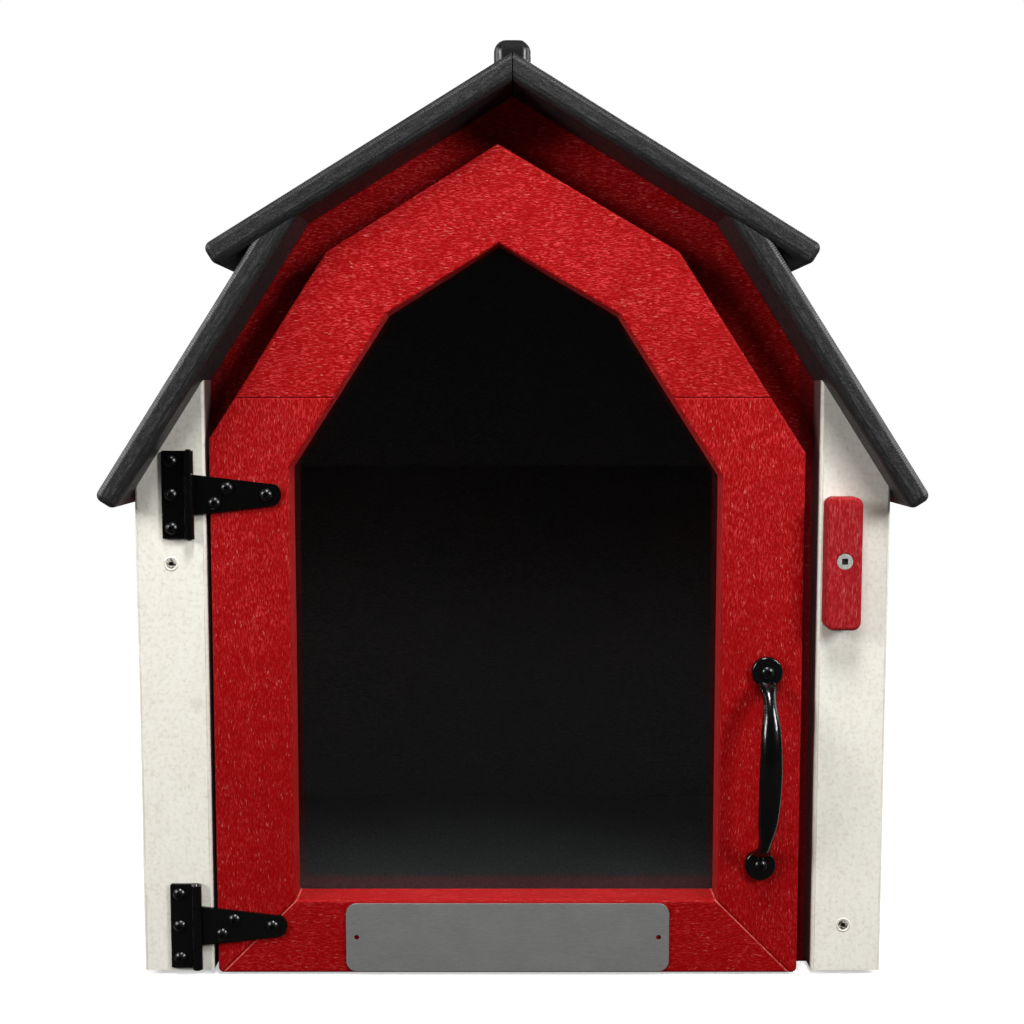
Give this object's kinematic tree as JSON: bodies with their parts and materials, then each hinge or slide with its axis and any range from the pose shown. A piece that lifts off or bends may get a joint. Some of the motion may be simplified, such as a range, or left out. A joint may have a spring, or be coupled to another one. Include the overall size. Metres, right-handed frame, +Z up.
{
  "type": "street book exchange box",
  "caption": "Barn-shaped book box with a gambrel roof, a windowed door on strap hinges, a pull handle and a turn-button latch.",
  "frame": {"origin": "centre of the underside of the box, which rests on its stand", "axes": "+X right and +Y away as seen by someone in front of the door, +Z up"},
  "size_m": [0.437, 0.3573, 0.5021],
  "materials": {
    "red_board": "streaky embossed recycled plastic, satin",
    "white_board": "smooth recycled plastic, satin",
    "charcoal_board": "brushed recycled plastic, satin",
    "black_plastic": "smooth black plastic, satin",
    "red_screw": "painted screw heads",
    "white_screw": "painted screw heads, worn at the drive",
    "black_hardware": "gloss black enamel",
    "bare_screw": "bare steel",
    "clear_pane": "clear gloss sheet",
    "plate_metal": "fine brushed"
  },
  "bodies": {
    "box": {"floor_panel": "charcoal_board", "left_side_wall": "red_board", "right_side_wall": "red_board", "back_panel": "charcoal_board", "front_frame": "red_board", "left_corner_post": "white_board", "right_corner_post": "white_board", "upper_left_roof_plank": "charcoal_board", "upper_right_roof_plank": "charcoal_board", "lower_left_roof_plank": "charcoal_board", "lower_right_roof_plank": "charcoal_board", "ridge_bar": "black_plastic", "front_frame_screws": "red_screw", "back_panel_screws": "black_hardware", "floor_screws": "red_screw", "roof_screws": "black_hardware", "ridge_bar_screws": "black_hardware", "corner_post_screws": "white_screw", "upper_hinge_leaf": "black_hardware", "lower_hinge_leaf": "black_hardware", "upper_hinge_pin": "black_hardware", "lower_hinge_pin": "black_hardware", "hinge_leaf_screws": "black_hardware", "button_screw": "bare_screw"},
    "door": {"door_arch": "red_board", "left_door_stile": "red_board", "right_door_stile": "red_board", "bottom_door_rail": "red_board", "door_joint_screws": "bare_screw", "door_pane": "clear_pane", "pane_screws": "bare_screw", "upper_hinge_strap": "black_hardware", "lower_hinge_strap": "black_hardware", "hinge_strap_screws": "black_hardware", "pull_handle": "black_hardware", "pull_handle_screws": "black_hardware", "name_plate": "plate_metal"},
    "turn_button": {"turn_button": "red_board"}
  },
  "joints": [
    {"name": "door_swing", "type": "hinge", "parent": "box", "child": "door", "pos_m": [-0.1732, -0.1671, 0.148], "axis": [0, 0, -1], "range_deg": [0, 110]},
    {"name": "turn_button_turn", "type": "hinge", "parent": "box", "child": "turn_button", "pos_m": [0.176, -0.17105, 0.232], "axis": [0, 1, 0], "continuous": true}
  ]
}
